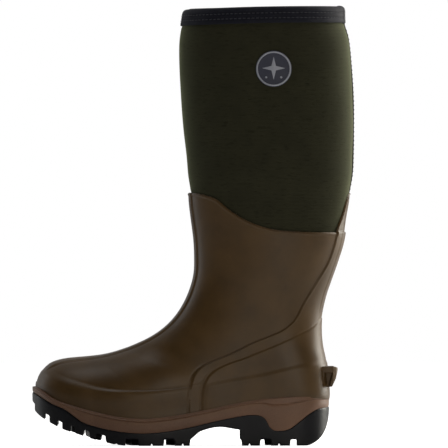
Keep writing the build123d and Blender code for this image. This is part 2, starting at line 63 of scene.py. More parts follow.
# Each slice of the form from the leg's top to the toe: its front's x and z, then its back's x and z.
SECTIONS = np.array([
    (-8.5, 452, 149.5, 455), (-9.0, 436, 150.2, 438), (-11.2, 420, 150.8, 422), (-13.2, 404, 155.2, 405),
    (-13.6, 378, 157.9, 379), (-12.0, 346, 159.9, 347), (-9.3, 314, 160.2, 315), (-6.6, 286, 159.8, 287),
    (-4.4, 262, 158.8, 264), (-4.4, 245, 157.6, 246), (-2.6, 228, 154.4, 227), (0.2, 205, 151.0, 204),
    (1.0, 186, 144.9, 184), (0.5, 172, 138.6, 166), (-2.6, 158.5, 133.2, 150), (-8.2, 144.6, 129.6, 134),
    (-15.8, 131.8, 128.4, 117), (-24.6, 121.4, 129.6, 100), (-34.4, 113.2, 132.8, 84),
    (-44.6, 106.8, 134.6, 66),
    (-54.6, 102.0, 133.5, 42), (-64.4, 97.9, 112, 32), (-73.6, 94.8, 84, 31), (-82.0, 92.4, 54, 27),
    (-90.6, 90.6, 24, 20), (-99.2, 89.5, -6, 14), (-108.2, 88.7, -36, 10), (-117.6, 88.1, -66, 10),
    (-127.2, 87.2, -92, 15), (-136.0, 85.5, -114, 22), (-143.6, 82.6, -131, 30), (-149.8, 77.4, -143.5, 39),
    (-154.2, 70.4, -151.2, 46.5), (-156.6, 63.5, -155.8, 53.0),
])
LAST = len(SECTIONS) - 1
LEG_SECTIONS = 14
STEP_IN = (7.4, 9.0)                         # the sections over which the form narrows to go under the rubber
FRONT_POWER = [(0, 2.0), (13, 2.0), (21, 2.0), (LAST + 1, 2.3)]
BACK_POWER = [(0, 2.0), (13, 2.1), (17, 4.0), (21, 9.0), (24, 14.0)]
WIDEST = [(0, 0.5), (13, 0.5), (21, 0.5), (25, 0.6)]
TOE_TIP_X, TOE_ROUND_X, TOE_POWER = -157.4, -100.0, 2.4
LEG_HALF_WIDTH = [
    (120, 42), (150, 44), (180, 46.5), (210, 49), (245, 52), (290, 55), (340, 57), (400, 57), (455, 55),
]
FOOT_OUTER = [(-100, 50.5), (-70, 52.5), (-40, 50.5), (-10, 46), (20, 42), (60, 39), (100, 38), (140, 37)]
FOOT_INNER = [(-100, 50.5), (-70, 50.5), (-40, 47), (-10, 41.5), (20, 38), (60, 37), (100, 37.5), (140, 37)]
FOOT_CENTRE = [(-160, 7), (-120, 4.5), (-80, 1.5), (-40, 0), (150, 0)]

# Lines in side view. The rubber meets the midsole at the feather line and the midsole ends at the swoop line.
FEATHER_LINE = [
    (-175, 64), (-157, 57), (-140.5, 46.8), (-119, 39.4), (-97, 33.6), (-75, 29), (-48, 27), (-24, 29.2),
    (0, 33), (24, 38), (48, 43.2), (75, 47.2), (100, 48.8), (160, 49.2),
]
SWOOP_LINE = [
    (-175, 58), (-160, 52.6), (-140.5, 41.4), (-129, 36.6), (-120, 30.4), (-111, 24), (-99, 19.6),
    (-80, 15.2), (-54, 12.4), (-30, 13.6), (0, 18.8), (24, 24.6), (46, 29), (60, 30.6), (68.5, 29.2),
    (73.5, 25), (77, 18.6), (81.5, 15.2), (88, 14.8), (96, 16.4), (104, 21.6), (113, 28.8),
    (121, 34.4), (128, 37), (160, 38.4),
]
RUBBER_TOP = [
    (-30, 252.6), (-4, 252.3), (11, 249.8), (23, 245.4), (35, 235.8), (51, 225.6), (67, 218.9), (81, 215.4),
    (104, 213.3), (128, 212.7), (200, 212.7),
]
TONGUE_EDGE = [
    (143.4, 150), (143.4, 190), (143.6, 212), (150, 231), (157.2, 252.2), (164, 252.2), (230, 252.2),
]
STRAP_FRONT = [
    (-5, -60), (-4.6, 34), (-3.6, 53), (-2, 61.3), (0.7, 70), (6, 76.8), (15, 82.4), (38, 92), (61, 103.4),
    (82, 111.8), (93.5, 118.2), (101.7, 126.6), (110, 142.4), (122.8, 163.4), (134.4, 183), (140, 198),
    (143.4, 211), (152, 240),
]
COUNTER_FRONT = [
    (8.4, -60), (8.6, 36), (9, 53), (11.2, 62.4), (15.4, 69.7), (22.8, 76), (35.4, 82), (50, 87), (67, 94),
    (80, 99.2), (92.3, 104.5), (103, 109.7), (117.5, 117.1), (124, 123.4), (128, 128), (150, 131), (200, 131),
]
RAND_TOP = [
    (-175, 84), (-157, 83), (-146, 79), (-134, 72), (-118, 66), (-100, 60.4), (-84, 57), (-66, 55.4),
    (-40, 55.6), (-20, 57.4), (8, 60.6), (40, 66), (72, 71.6), (104, 79), (150, 86),
]
TOP_LINE = [(-60, 433.9), (-8, 435.4), (70, 437.6), (150, 438.5), (220, 438.5)]
STAY_TOP = 213.8
RIDGE_HALF_WIDTH, RIDGE_TOE_HALF_WIDTH, SPINE_HALF_WIDTH = 13.0, 18.0, 13.0
SEAM_FOOT, SEAM_TOP = 252.2, 422


# ---------------------------------------------------------------- maths

def smooth(x, table):
    """A cubic through a table of (position, value), level past its ends."""
    table = np.asarray(table, float)
    places, values = table[:, 0], table[:, 1]
    x = np.asarray(x, float)
    i = np.clip(np.searchsorted(places, x, side="right") - 1, 0, len(places) - 2)
    slopes = np.empty(len(places))
    slopes[1:-1] = (values[2:] - values[:-2]) / (places[2:] - places[:-2])
    slopes[0] = (values[1] - values[0]) / (places[1] - places[0])
    slopes[-1] = (values[-1] - values[-2]) / (places[-1] - places[-2])
    span = places[i + 1] - places[i]
    t = np.clip((x - places[i]) / span, 0, 1)
    return (
        values[i] * (1 + 2 * t) * (1 - t) ** 2 + slopes[i] * span * t * (1 - t) ** 2
        + values[i + 1] * t * t * (3 - 2 * t) + slopes[i + 1] * span * t * t * (t - 1)
    )


def ramp(x, low, high):
    """0 below low, 1 above high and a smooth step between."""
    t = np.clip((np.asarray(x, float) - low) / (high - low), 0, 1)
    return t * t * (3 - 2 * t)


def line_up(*values):
    """Arrays of numbers, all stretched to the same shape."""
    return np.broadcast_arrays(*(np.asarray(value, float) for value in values))


def run_along(points):
    """The distance along a line of points, at each of them."""
    return np.r_[0, np.cumsum(np.linalg.norm(np.diff(points, axis=0), axis=1))]


def column(v, k):
    """One column of the table of sections, at section numbers that needn't be whole."""
    return smooth(v, list(enumerate(SECTIONS[:, k])))


def half_width(x, z, table):
    """The form's half width: the foot's from one of its tables, and higher up the leg's."""
    toe = np.maximum(0, (TOE_ROUND_X - x) / (TOE_ROUND_X - TOE_TIP_X + 0.4))
    foot = smooth(x, table) * np.sqrt(np.maximum(0, 1 - toe ** TOE_POWER))
    leg = ramp(z, 105, 175)
    return leg * smooth(z, LEG_HALF_WIDTH) + (1 - leg) * foot


def grown(size, grow):
    """A half size moved out by a thickness, which fades away where the half size is small."""
    return size + grow * np.minimum(1, size / 20)


def surface(v, angle, grow):
    """Points of the form: v is the section, angle goes round it from the front by the outer side."""
    v, angle, grow = line_up(v, angle, grow)
    front = np.stack([column(v, 0), column(v, 1)], -1)
    back = np.stack([column(v, 2), column(v, 3)], -1)
    grow = grow - FINISHED * ramp(v, *STEP_IN)
    front_power, back_power, widest = (smooth(v, table) for table in (FRONT_POWER, BACK_POWER, WIDEST))
    along = back - front
    length = np.linalg.norm(along, axis=-1)
    push = -grow * ramp(-(front[..., 0] + back[..., 0]) / 2, 30, 150)
    middle = (front + back) / 2
    s = (1 - np.cos(angle)) / 2
    x = front[..., 0] + along[..., 0] * s
    z = front[..., 1] + along[..., 1] * s
    ahead = np.maximum(0, (widest - s) / widest)
    behind = np.maximum(0, (s - widest) / (1 - widest))
    narrowing = np.where(s < widest, ahead ** front_power, behind ** back_power)
    profile = np.sqrt(np.maximum(0, 1 - narrowing))
    outer = np.sin(angle) > 0
    width = np.where(outer, half_width(x, z, FOOT_OUTER), half_width(x, z, FOOT_INNER))
    width = grown(width, grow) * profile
    y = smooth(x, FOOT_CENTRE) + np.where(outer, -width, width)
    reach = along / length[..., None] * (grown(length / 2, grow) * (2 * s - 1))[..., None]
    return np.stack([middle[..., 0] + reach[..., 0] + push, y, middle[..., 1] + reach[..., 1]], -1)


def leg_at(angle, z, grow):
    """Points of the leg at a height, by finding the section that passes there."""
    angle, z, grow = line_up(angle, z, grow)
    s = (1 - np.cos(angle)) / 2
    low, high = np.zeros(angle.shape), np.full(angle.shape, float(LEG_SECTIONS))
    for _ in range(30):
        v = (low + high) / 2
        above = column(v, 1) * (1 - s) + column(v, 3) * s > z
        low, high = np.where(above, v, low), np.where(above, high, v)
    return surface(v, angle, grow)


def on_outer_side(x, z, grow):
    """Points of the leg's outer side in side view."""
    x, z = line_up(x, z)
    v = np.interp(-z, -SECTIONS[:LEG_SECTIONS, 1], np.arange(LEG_SECTIONS))
    for _ in range(3):
        front, back = column(v, 0), column(v, 2)
        s = np.clip((x - front) / (back - front), 0.001, 0.999)
        angle = np.arccos(1 - 2 * s)
        found = surface(v, angle, 0.0)
        v = v + (found[..., 2] - z) / 30
    return surface(v, angle, grow)


def line_distance(x, z, line, step=2.0):
    """Distance in side view from a smooth line, above zero on the right of its direction."""
    line = np.asarray(line, float)
    lengths = run_along(line)
    at = np.linspace(0, lengths[-1], int(lengths[-1] / step) + 2)
    curve = np.stack([smooth(at, np.c_[lengths, line[:, 0]]), smooth(at, np.c_[lengths, line[:, 1]])], -1)
    start, run = curve[:-1], np.diff(curve, axis=0)
    shape = np.shape(x)
    p = np.stack([np.ravel(x), np.ravel(z)], -1)
    best = np.full(len(p), np.inf)
    sign = np.ones(len(p))
    for (a, b), (dx, dz) in zip(start, run):
        t = np.clip(((p[:, 0] - a) * dx + (p[:, 1] - b) * dz) / (dx * dx + dz * dz), 0, 1)
        gap_x, gap_z = p[:, 0] - a - t * dx, p[:, 1] - b - t * dz
        far = np.hypot(gap_x, gap_z)
        nearer = far < best
        best = np.where(nearer, far, best)
        sign = np.where(nearer, np.where(dz * gap_x - dx * gap_z >= 0, 1, -1), sign)
    return (best * sign).reshape(shape)


def tangents(points):
    """Steps along a grid's two directions: across the rows, and round each closed row."""
    across = np.gradient(points, axis=0)
    around = (np.roll(points, -1, axis=1) - np.roll(points, 1, axis=1)) / 2
    return across, around


def normals(points):
    """Unit normals of a closed grid, which point out of the boot where its rows run down the outside."""
    across, around = tangents(points)
    out = np.cross(across, around)
    return out / np.maximum(np.linalg.norm(out, axis=-1, keepdims=True), 1e-9)


def gradient(field, points):
    """The slope of a field over a grid's surface, as a vector in the surface."""
    across, around = tangents(points)
    rise_v = np.gradient(field, axis=0)
    rise_u = (np.roll(field, -1, axis=1) - np.roll(field, 1, axis=1)) / 2
    e = (across * across).sum(-1)
    g = (around * around).sum(-1)
    f = (across * around).sum(-1)
    det = np.maximum(e * g - f * f, 1e-9)
    a = (rise_v * g - rise_u * f) / det
    b = (rise_u * e - rise_v * f) / det
    return across * a[..., None] + around * b[..., None]


def surface_distance(field, points):
    """A distance in side view turned into a distance along the surface, near the line where it is zero."""
    slope = np.linalg.norm(gradient(field, points), axis=-1)
    return field / np.clip(slope, 0.12, 1.5)


def snap(points, field, reach):
    """Slide the grid's nearest vertices onto the line where a field is zero."""
    slope = gradient(field, points)
    size = (slope * slope).sum(-1)
    move = -slope * (field / np.maximum(size, 1e-4))[..., None]
    far = np.linalg.norm(move, axis=-1)
    take = (far < reach) & (size > 0.02)
    return points + np.where(take[..., None], move, 0)


WAVES, WAVES_PEAK = 14, 5.0


def wobble(points, scale, seed):
    """Slow unevenness, about -1 to 1, at points in millimetres: waves in many directions."""
    random = np.random.default_rng(seed)
    total = 0
    for _ in range(WAVES):
        direction = random.normal(size=3)
        direction *= random.uniform(0.6, 1.5) / np.linalg.norm(direction) * math.pi / scale
        total = total + np.sin(points @ direction + random.uniform(0, 2 * math.pi))
    return total / WAVES_PEAK


# ---------------------------------------------------------------- meshes

def put(points):
    """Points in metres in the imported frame, from points in millimetres in the design frame."""
    return (np.asarray(points, float).reshape(-1, 3) - MIDDLE) / 1000


def linked(name, data):
    """A new object in the scene."""
    piece = bpy.data.objects.new(name, data)
    bpy.context.scene.collection.objects.link(piece)
    return piece


def make(name, points, faces, uv=None, smooth_faces=True):
    """A mesh object from points in millimetres, dropping the points that no face uses."""
    faces = [tuple(int(k) for k in face) for face in faces]
    used = sorted({k for face in faces for k in face})
    index = {old: new for new, old in enumerate(used)}
    places = put(points)[used]
    mesh = bpy.data.meshes.new(name)
    mesh.from_pydata(places.tolist(), [], [[index[k] for k in face] for face in faces])
    if uv is not None:
        layer = mesh.uv_layers.new(name="UVMap")
        flat = np.asarray(uv, float).reshape(-1, 2)[used]
        loops = np.empty(len(mesh.loops), int)
        mesh.loops.foreach_get("vertex_index", loops)
        layer.data.foreach_set("uv", flat[loops].ravel())
    mesh.validate()
    if smooth_faces:
        mesh.shade_smooth()
    return linked(name, mesh)


def grid_faces(rows, columns, keep=None, closed=True, flip=False):
    """Quads of a grid whose rows close up, or only those that keep allows."""
    steps = columns if closed else columns - 1
    row, col = np.meshgrid(np.arange(rows - 1) * columns, np.arange(steps), indexing="ij")
    right = (col + 1) % columns
    quads = np.stack([row + col, row + right, row + columns + right, row + columns + col], -1)
    quads = quads[..., ::-1] if flip else quads
    return quads.reshape(-1, 4) if keep is None else quads[keep]


def even_rows(start, end, step, grow):
    """Section numbers spaced evenly along the surface, as an average of four lines down it."""
    v = np.linspace(start, end, 800)
    steps = 0
    for angle in (0.3, 1.2, 1.9, 2.8):
        steps = steps + np.linalg.norm(np.diff(surface(v, angle, grow), axis=0), axis=1) / 4
    run = np.r_[0, np.cumsum(steps)]
    count = int(run[-1] / step) + 1
    return np.interp(np.linspace(0, run[-1], count), run, v)


def even_angles(count, v=16):
    """Angles that space points evenly round a section."""
    fine = np.linspace(0, 2 * math.pi, 2001)
    run = run_along(surface(v, fine, 0.0))
    return np.interp(np.linspace(0, run[-1], count + 1)[:-1], run, fine)


def open_edges(quads):
    """The edges, as pairs of vertices, that belong to only one of the quads."""
    edges = {}
    for quad in quads:
        for k in range(4):
            a, b = int(quad[k]), int(quad[(k + 1) % 4])
            if (b, a) in edges:
                del edges[b, a]
            else:
                edges[a, b] = True
    return list(edges)


def shell_piece(name, points, outward, keep, thickness):
    """Part of a grid's surface as a sheet of its own, with its thickness on the inside.

    It keeps the whole grid's normals, so that neighbouring parts shade as one moulding.
    """
    rows, columns = points.shape[:2]
    outer = grid_faces(rows, columns, keep, flip=True)
    inner = outer[:, ::-1]
    count = rows * columns
    rim = np.array([(b, a, a + count, b + count) for a, b in open_edges(outer)])
    faces = np.concatenate([outer, inner + count, rim])
    both = np.concatenate([points.reshape(-1, 3), (points - outward * thickness).reshape(-1, 3)])
    used = np.unique(faces)
    index = np.zeros(2 * count, int)
    index[used] = np.arange(len(used))
    mesh = bpy.data.meshes.new(name)
    mesh.from_pydata(put(both[used]).tolist(), [], index[faces].tolist())
    mesh.shade_smooth()

    flat = outward.reshape(-1, 3)
    a, b, c = (both[rim[:, k]] for k in range(3))
    rim_normals = np.cross(b - a, c - b)
    rim_normals /= np.maximum(np.linalg.norm(rim_normals, axis=1, keepdims=True), 1e-9)
    corner_normals = np.concatenate([
        flat[outer].reshape(-1, 3), -flat[inner].reshape(-1, 3), np.repeat(rim_normals, 4, axis=0)])
    mesh.normals_split_custom_set(corner_normals.tolist())
    return linked(name, mesh)


def modified(piece, kind, **settings):
    """Add a modifier to a piece, and make its result the piece's own mesh."""
    modifier = piece.modifiers.new(kind.lower(), kind)
    for key, value in settings.items():
        setattr(modifier, key, value)
    bpy.context.view_layer.objects.active = piece
    with bpy.context.temp_override(object=piece, active_object=piece, selected_objects=[piece]):
        bpy.ops.object.modifier_apply(modifier=modifier.name)


def thicken(piece, thickness):
    """Give an open sheet its thickness, inwards."""
    modified(piece, "SOLIDIFY", thickness=thickness / 1000, offset=-1)


def moulded(node, name, voxel, passes, regain=0.0):
    """A copy of a CAD node with softened edges. Softening shrinks it a little, which regain gives back."""
    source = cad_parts[node]
    piece = linked(name, source.data.copy())
    piece.matrix_world = source.matrix_world.copy()
    piece.data.materials.clear()
    modified(piece, "REMESH", mode="VOXEL", voxel_size=voxel / 1000)
    modified(piece, "SMOOTH", factor=0.5, iterations=passes)
    if regain:
        modified(piece, "DISPLACE", mid_level=0.0, strength=regain / 1000)
    piece.data.shade_smooth()
    return piece


def finish(piece, material, slot, *nodes):
    """Give a piece its material, attach it to the root body, and hide the CAD nodes it stands for. The slot
    is not used.
    """
    piece.data.materials.clear()
    piece.data.materials.append(material)
    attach(piece, "root")
    if nodes:
        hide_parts(*nodes)
    return piece


# ---------------------------------------------------------------- materials

class Nodes:
    """The node tree of a material or a world, with one call for each node."""

    def __init__(self, name, kind=bpy.data.materials, shader="Principled BSDF"):
        self.owner = kind.new(name)
        self.owner.use_nodes = True
        self.tree = self.owner.node_tree
        self.shader = self.tree.nodes[shader]

    def feed(self, socket, value):
        """Link a node's output to a socket, or set the socket to a number or a colour."""
        if isinstance(value, bpy.types.NodeSocket):
            self.tree.links.new(value, socket)
        elif socket.type == "RGBA":
            socket.default_value = (*value, 1)
        else:
            socket.default_value = value

    def add(self, kind, inputs=None, **settings):
        node = self.tree.nodes.new(kind)
        for key, value in settings.items():
            setattr(node, key, value)
        for key, value in (inputs or {}).items():
            self.feed(node.inputs[key], value)
        return node

    def place(self, scale, kind="Object"):
        """Coordinates in millimetres, stretched along each axis."""
        source = self.add("ShaderNodeTexCoord").outputs[kind]
        factor = 1000 if kind == "Object" else 1
        inputs = {"Vector": source, "Scale": [factor * s for s in scale]}
        return self.add("ShaderNodeMapping", inputs).outputs[0]

    def noise(self, size, detail=3.0, roughness=0.55, stretch=(1, 1, 1)):
        """Cloudy noise whose lumps have about this size in millimetres, 0 to 1."""
        place = self.place([s / size for s in stretch])
        return self.add("ShaderNodeTexNoise", {
            "Vector": place, "Scale": 1.0, "Detail": detail, "Roughness": roughness}).outputs["Fac"]

    def between(self, value, low, high, out_low=0.0, out_high=1.0):
        """A value carried from one range to another, and held at its ends."""
        ends = {"From Min": low, "From Max": high, "To Min": out_low, "To Max": out_high}
        return self.add("ShaderNodeMapRange", {"Value": value, **ends}).outputs[0]

    def mix(self, value, one, two):
        """A blend of two colours, each a socket or three numbers."""
        return self.add("ShaderNodeMix", {0: value, 6: one, 7: two}, data_type="RGBA").outputs[2]

    def maths(self, operation, one, two):
        return self.add("ShaderNodeMath", {0: one, 1: two}, operation=operation).outputs[0]

    def wave(self, pitch, axis, kind="UV", distortion=0.0):
        """Ridges of a pitch in millimetres, 0 to 1. At scale 1 the node repeats every pi / 10."""
        scale = math.pi / 10 / pitch
        place = self.place((1, 1, 1), kind)
        return self.add("ShaderNodeTexWave", {
            "Vector": place, "Scale": scale, "Distortion": distortion, "Detail": 1.0, "Detail Scale": 2.0,
        }, wave_type="BANDS", bands_direction=axis, wave_profile="SIN").outputs["Fac"]

    def bump(self, height, distance, strength=1.0, under=None):
        """A bump of a depth in millimetres, over another one if that is given."""
        inputs = {"Height": height, "Distance": distance / 1000, "Strength": strength}
        if under is not None:
            inputs["Normal"] = under
        return self.add("ShaderNodeBump", inputs).outputs[0]

    def finish(self, colour, roughness, bump=None, **constants):
        """Fill in the shader's sockets, and give back the material."""
        sockets = self.shader.inputs
        self.feed(sockets["Base Color"], colour)
        self.feed(sockets["Roughness"], roughness)
        if bump is not None:
            self.feed(sockets["Normal"], bump)
        for key, value in constants.items():
            self.feed(sockets[key.replace("_", " ")], value)
        return self.owner


def linear(red, green, blue):
    """A colour given as it looks on a screen, 0 to 255."""
    shares = (c / 255 for c in (red, green, blue))
    return tuple(((c + 0.055) / 1.055) ** 2.4 if c > 0.04 else c / 12.92 for c in shares)


def neoprene_material():
    """Olive jersey bonded to foam: fine courses and wales, a little mottled, with a soft nap."""
    n = Nodes("neoprene_jersey")
    courses = n.wave(1.3, "Y", distortion=2.2)
    wales = n.wave(1.1, "X", distortion=0.8)
    knit = n.maths("MULTIPLY", courses, n.between(wales, 0, 1, 0.55, 1.0))
    streak = n.noise(1.5, 2, 0.6, stretch=(0.2, 0.2, 1.0))
    mottle = n.noise(26, 3)
    fibre = n.noise(0.7, 2)
    colour = n.mix(n.between(mottle, 0.3, 0.7), linear(48, 47, 34), linear(58, 57, 42))
    colour = n.mix(n.between(knit, 0.0, 0.7), linear(45, 44, 32), colour)
    colour = n.mix(n.between(streak, 0.25, 0.45), linear(38, 37, 26), colour)
    bump = n.bump(fibre, 0.08, 0.5)
    bump = n.bump(knit, 0.14, 0.45, bump)
    return n.finish(
        colour, n.between(mottle, 0.3, 0.7, 0.82, 0.92), bump, Sheen_Weight=0.62, Sheen_Roughness=0.4,
        Sheen_Tint=(0.6, 0.66, 0.38), Specular_IOR_Level=0.1)


def rubber_material(name, dark, light, rough, grain=0.05, shine=0.36):
    """Hand-laid boot rubber: satin, with slow changes of shade, fine grain and faint scuffs."""
    n = Nodes(name)
    cloud = n.noise(34, 4)
    grain_height = n.noise(0.9, 3)
    scuff = n.noise(7, 5, 0.7, stretch=(1, 1, 0.25))
    colour = n.mix(n.between(cloud, 0.32, 0.68), dark, light)
    roughness = n.maths("ADD", n.between(cloud, 0.3, 0.7, rough - 0.04, rough + 0.04),
                        n.between(scuff, 0.58, 0.72, 0.0, 0.09))
    bump = n.bump(grain_height, grain, 0.5)
    bump = n.bump(n.noise(16, 2), 0.35, 0.35, bump)
    return n.finish(colour, roughness, bump, Specular_IOR_Level=shine)


def webbing_material(name, dark, light, pitch=1.0):
    """Black woven tape."""
    n = Nodes(name)
    warp, weft = n.wave(pitch, "X"), n.wave(pitch * 0.9, "Y")
    weave = n.maths("MULTIPLY", warp, weft)
    colour = n.mix(n.between(weave, 0.0, 0.9), dark, light)
    bump = n.bump(weave, 0.2, 0.8, n.bump(n.noise(0.5, 2), 0.08, 0.4))
    return n.finish(colour, n.between(n.noise(9, 3), 0.3, 0.7, 0.62, 0.76), bump, Sheen_Weight=0.02,
                    Sheen_Roughness=0.4, Specular_IOR_Level=0.2)


def thread_material():
    """Dark sewing thread with a fine twist."""
    n = Nodes("sewing_thread")
    twist = n.wave(0.35, "DIAGONAL", "Object")
    colour = n.mix(twist, linear(30, 31, 38), linear(62, 64, 75))
    return n.finish(colour, 0.5, n.bump(twist, 0.08, 0.6), Sheen_Weight=0.1)


def speckled_material(name, dark, light, rough, size=0.8, depth=0.05):
    """A finely speckled moulded or pressed surface."""
    n = Nodes(name)
    grain = n.noise(size, 3)
    cloud = n.noise(size * 30, 3)
    colour = n.mix(n.between(n.maths("ADD", grain, cloud), 0.75, 1.25), dark, light)
    roughness = n.between(cloud, 0.3, 0.7, rough - 0.05, rough + 0.05)
    return n.finish(colour, roughness, n.bump(grain, depth, 0.6))


def fleece_material(name, dark, light):
    """Brushed knit."""
    n = Nodes(name)
    pile = n.noise(1.6, 5, 0.7)
    colour = n.mix(n.between(pile, 0.3, 0.7), dark, light)
    return n.finish(colour, 0.95, n.bump(pile, 0.7, 0.8), Sheen_Weight=0.5, Sheen_Roughness=0.6)


def steel_material():
    """Spring steel, brushed along its length."""
    n = Nodes("brushed_steel")
    brushed = n.noise(0.6, 3, stretch=(0.04, 1, 1))
    colour = n.mix(brushed, (0.42, 0.43, 0.45), (0.6, 0.6, 0.62))
    roughness = n.between(brushed, 0.3, 0.7, 0.28, 0.42)
    return n.finish(colour, roughness, n.bump(brushed, 0.02, 0.4), Metallic=1.0)


# ---------------------------------------------------------------- the rubber foot

SKIN_FIRST, SKIN_STEP, SKIN_COLUMNS = 7.4, 0.75, 440
SKIN_THICKNESS, SKIN_REACH = 1.4, 2.5        # the pieces' thickness, and their reach past the feather line
TOE_DOME_STEPS, TOE_DOME_DEPTH = (0.35, 0.6, 0.8, 0.93, 1.0), 1.3
SPINE_FROM_X = 95


def skin_grid():
    """The rubber's plain surface, closed by a shallow dome at the toe's tip."""
    v = even_rows(SKIN_FIRST, LAST, SKIN_STEP, RUBBER)
    points = surface(v[:, None], even_angles(SKIN_COLUMNS)[None, :], RUBBER)
    tip = points[-1].mean(axis=0)
    dome = []
    for t in TOE_DOME_STEPS:
        ring = tip + (points[-1] - tip) * max(0.02, math.sqrt(1 - t * t))
        dome.append(ring + [-TOE_DOME_DEPTH * t, 0, 0])
    return np.concatenate([points, np.array(dome)])


def skin_fields(points):
    """How far inside the rubber's top, the stay, the counter, the rand and the front ridge each point is."""
    x, y, z = np.moveaxis(points, -1, 0)
    top = np.maximum(line_distance(x, z, RUBBER_TOP), line_distance(x, z, TONGUE_EDGE))
    strap, counter, rand = (line_distance(x, z, line) for line in (STRAP_FRONT, COUNTER_FRONT, RAND_TOP))
    wide = RIDGE_HALF_WIDTH + (RIDGE_TOE_HALF_WIDTH - RIDGE_HALF_WIDTH) * ramp(-x, 60, 140)
    ridge = wide - np.abs(y - smooth(x, FOOT_CENTRE))
    in_front = (x < 40) & (z > 60)
    return top, strap, counter, rand, np.where(in_front, ridge, -30)


def along_line(distance, centre, half_width):
    """1 at one distance from a line, and soon 0 on both sides of it."""
    return np.exp(-((distance - centre) / half_width) ** 2)


def skin_relief(points, fields):
    """How far the rubber stands out of its plain form."""
    x, y, z = np.moveaxis(points, -1, 0)
    *lines, ridge = fields
    top, strap, counter, rand = (surface_distance(line, points) for line in lines)
    stay = ramp(strap, 0.0, 1.3)
    ahead = 1 - stay
    full_stay = ramp(STAY_TOP - z, 0.0, 1.4) * stay
    toe = ramp(-x, 55, 130)
    low = ramp(96 - z, 0, 30)

    # the laid-on parts, and where they swell
    laid_on = np.maximum(full_stay, ramp(rand, -0.2, 1.6 + 7 * toe) * ahead)
    laid_on = np.maximum(laid_on, ramp(ridge, 0.0, 2.4) * ahead * (0.55 + 0.45 * ramp(z, 60, 110)))
    height = OVERLAY * laid_on
    height += 0.5 * ramp(counter, 0.3, 3.0)
    height += 0.9 * ramp(rand, -2.5, 3.5) * ramp(x, 2, 24) * ramp(counter, 1, 6)
    height += 0.7 * (1 - toe) * ramp(rand, 0, 5) * (1 - ramp(rand, 8, 22)) * ahead
    spine = np.where(x > SPINE_FROM_X, SPINE_HALF_WIDTH - np.abs(y), -30)
    height += 0.45 * ramp(spine, 0, 1.2) * ramp(z, 128, 140) * full_stay

    # the grooves beside them, deeper near the sole
    height -= (0.15 + 0.5 * low) * along_line(strap, -0.4, 0.5 + 0.4 * low) * ramp(STAY_TOP + 1 - z, 0, 3)
    height -= (0.2 + 0.55 * low) * along_line(counter, -0.5, 0.55 + 0.5 * low)
    height -= 0.2 * (1 - toe) * along_line(rand, -0.7, 0.8) * (1 - ramp(counter, -1, 1))
    height -= 0.3 * along_line(ridge, -1.0, 1.1) * ahead * ramp(-rand, 0, 3)

    # the beads along the front of the stay and of the counter
    height += 0.25 * along_line(strap, 1.2, 0.8) * ramp(STAY_TOP - 2 - z, 0, 4)
    height += 0.25 * along_line(counter, 1.4, 0.8)

    # the rolled lip at the top, and slow unevenness away from it
    height += 0.5 * (1 - ramp(top, 1.4, 3.6))
    height -= 1.3 * (1 - np.sqrt(1 - (1 - np.clip(top / 1.5, 0, 1)) ** 2))
    return height + 0.12 * wobble(points, 30, 3) * ramp(top, 2, 8)


def of_faces(field):
    """A field's value in the middle of each quad of a closed grid."""
    beside = np.roll(field, -1, axis=1)
    return (field[:-1] + field[1:] + beside[:-1] + beside[1:]) / 4


def skin_parts(points, fields):
    """Which quads belong to each part. A quad goes to the first part that claims it."""
    x, _, z = np.moveaxis(points, -1, 0)
    feather = line_distance(x, z, FEATHER_LINE)
    top, strap, counter, rand, ridge, feather, z = (of_faces(field) for field in (*fields, feather, z))
    claims = {
        "counter": counter > 0,
        "stay": (strap > 0) & (z < STAY_TOP),
        "rand": (rand > 0) & (strap <= 0),
        "ridge": ridge > 0,
        "shell": np.full(top.shape, True),
    }
    free = (top > 0) & (feather < SKIN_REACH)
    parts = {}
    for part, claim in claims.items():
        parts[part] = free & claim
        free = free & ~claim
    return parts


def rubber_skin():
    """The vulcanised rubber foot as one surface with its raised parts, split into a piece for each part."""
    points = skin_grid()
    points = snap(points, skin_fields(points)[0], 0.7)
    fields = skin_fields(points)
    parts = skin_parts(points, fields)
    points = points + normals(points) * skin_relief(points, fields)[..., None]
    outward = normals(points)
    rubber = rubber_material("boot_rubber", linear(76, 56, 29), linear(91, 68, 37), 0.41)
    for part, node in (
        ("shell", "rubber_shell"), ("rand", "toe_rand"), ("ridge", "front_ridge"), ("stay", "rear_stay"),
        ("counter", "heel_counter"),
    ):
        piece = shell_piece("moulded_" + part, points, outward, parts[part], SKIN_THICKNESS)
        finish(piece, rubber, "boot_rubber", node)
    spur = moulded("kick_spur", "moulded_kick_spur", 0.5, 4)
    finish(spur, rubber, "boot_rubber", "kick_spur")


# ---------------------------------------------------------------- the leg

CALF_SECTION = 5                             # a section through the calf, for spacing points round the leg
FOAM_MAP_GIRTH, TAPE_MAP_GIRTH = 400, 396    # the weave's maps go this many millimetres round the leg


